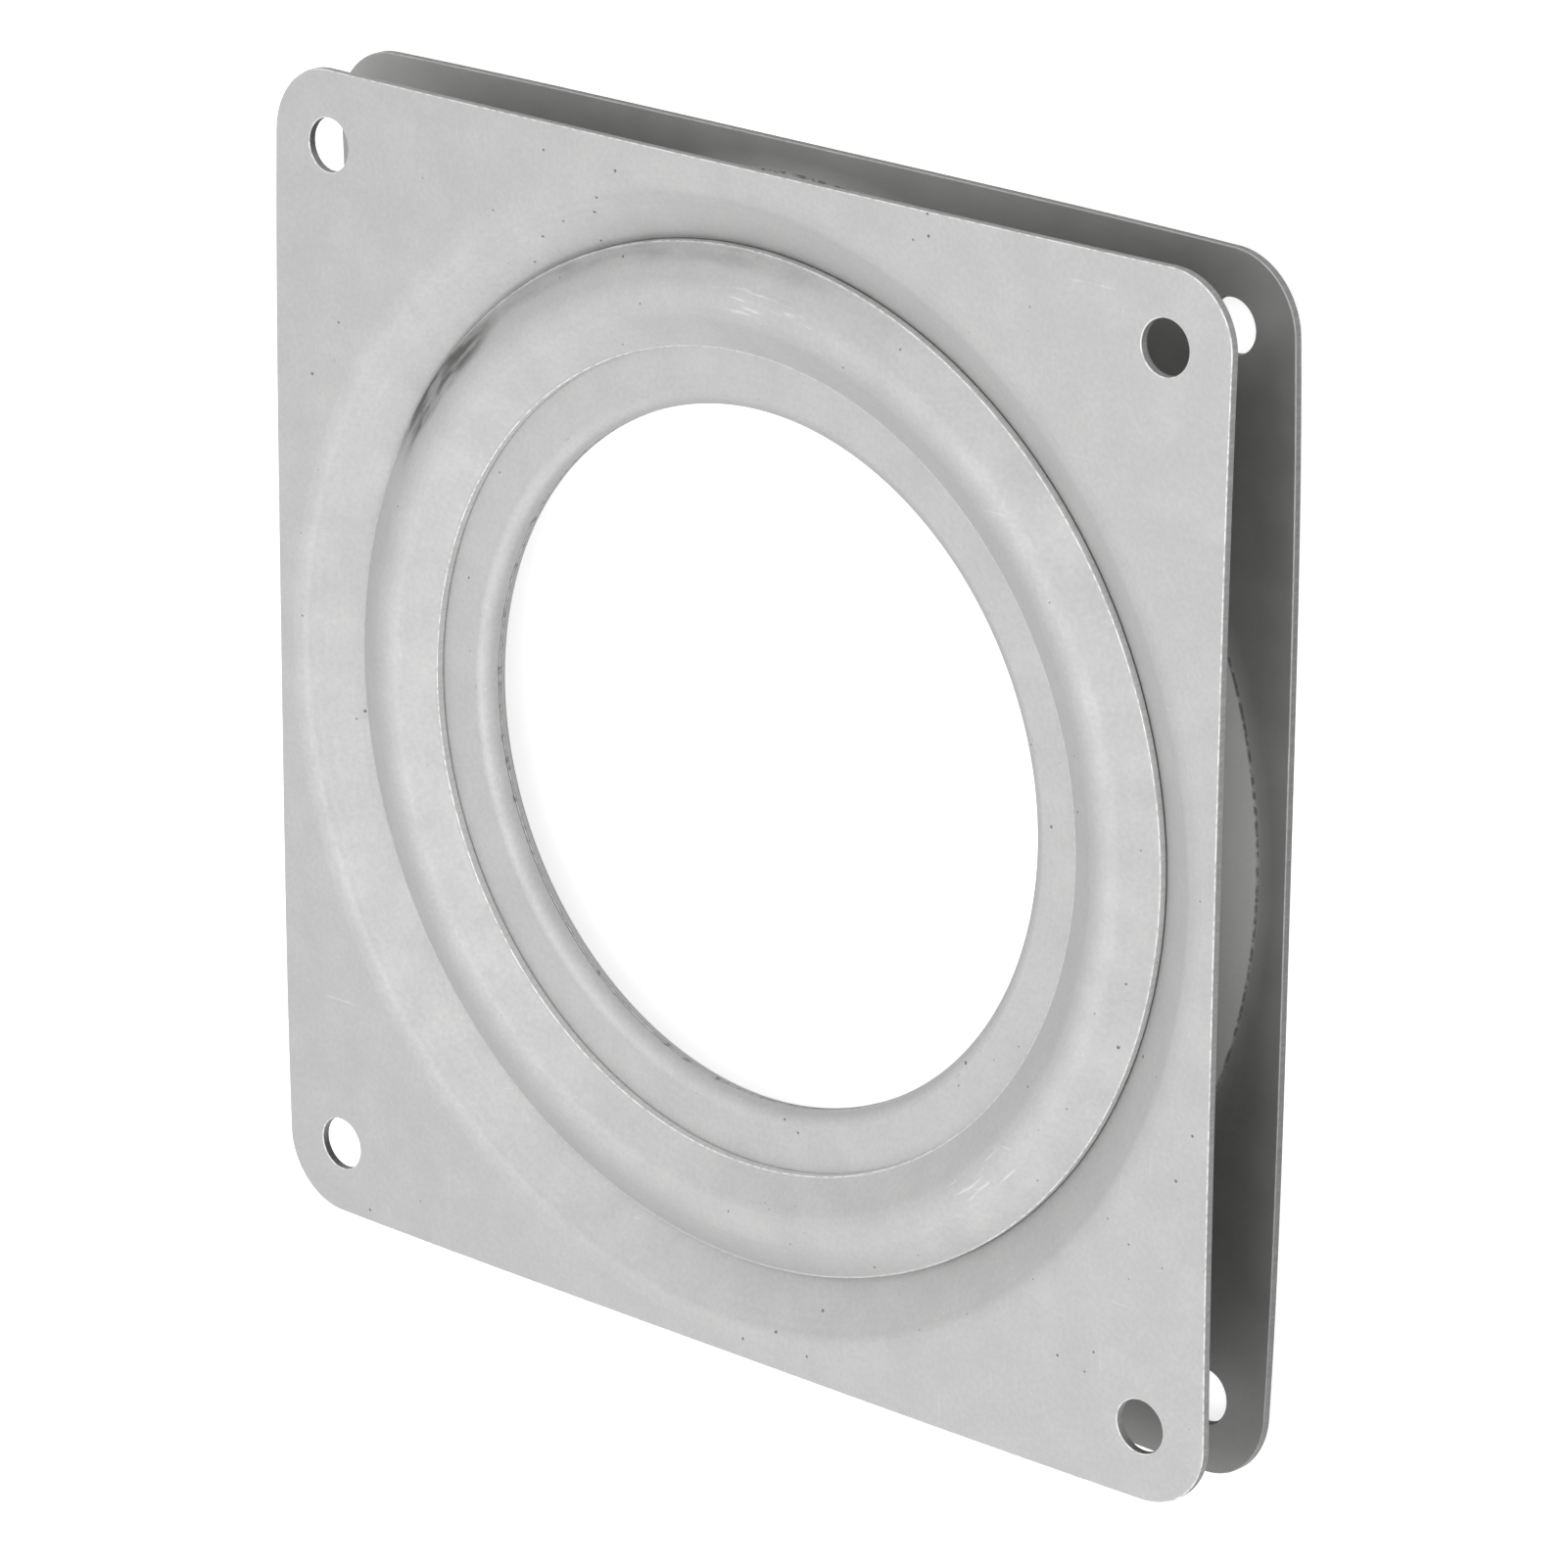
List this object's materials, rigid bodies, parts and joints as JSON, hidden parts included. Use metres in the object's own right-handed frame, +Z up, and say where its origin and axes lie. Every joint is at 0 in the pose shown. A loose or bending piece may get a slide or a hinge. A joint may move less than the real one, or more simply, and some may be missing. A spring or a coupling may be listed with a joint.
{
  "type": "lazy susan bearing",
  "caption": "Flat square swivel bearing for a turntable: sheet steel plates with screw holes turn on a row of balls around an open centre ring.",
  "frame": {"origin": "centre of the lower plate's underside, on the turning axis", "axes": "+Z up along the turning axis, +X and +Y along the sides of the plates"},
  "size_m": [0.1016, 0.1016, 0.0095],
  "materials": {
    "zinc_coated_steel": "dull bright zinc on sheet steel",
    "ball_steel": "polished bearing steel with a film of grease"
  },
  "bodies": {
    "lower_plate": {"lower_plate": "zinc_coated_steel"},
    "upper_plate": {"upper_plate": "zinc_coated_steel"},
    "centre_rings": {"upper_retaining_ring": "zinc_coated_steel", "lower_retaining_ring": "zinc_coated_steel", "upper_hub_ring": "zinc_coated_steel", "lower_hub_ring": "zinc_coated_steel"},
    "ball_row": {"ball_01": "ball_steel", "ball_02": "ball_steel", "ball_03": "ball_steel", "ball_04": "ball_steel", "ball_05": "ball_steel", "ball_06": "ball_steel", "ball_07": "ball_steel", "ball_08": "ball_steel", "ball_09": "ball_steel", "ball_10": "ball_steel", "ball_11": "ball_steel", "ball_12": "ball_steel", "ball_13": "ball_steel", "ball_14": "ball_steel", "ball_15": "ball_steel", "ball_16": "ball_steel", "ball_17": "ball_steel", "ball_18": "ball_steel", "ball_19": "ball_steel", "ball_20": "ball_steel", "ball_21": "ball_steel", "ball_22": "ball_steel", "ball_23": "ball_steel", "ball_24": "ball_steel", "ball_25": "ball_steel", "ball_26": "ball_steel", "ball_27": "ball_steel", "ball_28": "ball_steel", "ball_29": "ball_steel", "ball_30": "ball_steel", "ball_31": "ball_steel", "ball_32": "ball_steel", "ball_33": "ball_steel", "ball_34": "ball_steel", "ball_35": "ball_steel", "ball_36": "ball_steel", "ball_37": "ball_steel", "ball_38": "ball_steel", "ball_39": "ball_steel", "ball_40": "ball_steel", "ball_41": "ball_steel", "ball_42": "ball_steel", "ball_43": "ball_steel", "ball_44": "ball_steel"}
  },
  "joints": [
    {"name": "upper_plate_turn", "type": "hinge", "parent": "lower_plate", "child": "upper_plate", "pos_m": [0, 0, 0.00477], "axis": [0, 0, 1], "continuous": true},
    {"name": "ball_row_turn", "type": "hinge", "parent": "lower_plate", "child": "ball_row", "pos_m": [0, 0, 0.00477], "axis": [0, 0, 1], "continuous": true},
    {"name": "centre_rings_turn", "type": "hinge", "parent": "lower_plate", "child": "centre_rings", "pos_m": [0, 0, 0.00477], "axis": [0, 0, 1], "continuous": true}
  ],
  "couplings": [
    {"joint": "ball_row_turn", "follows": "upper_plate_turn", "ratio": 0.5}
  ]
}
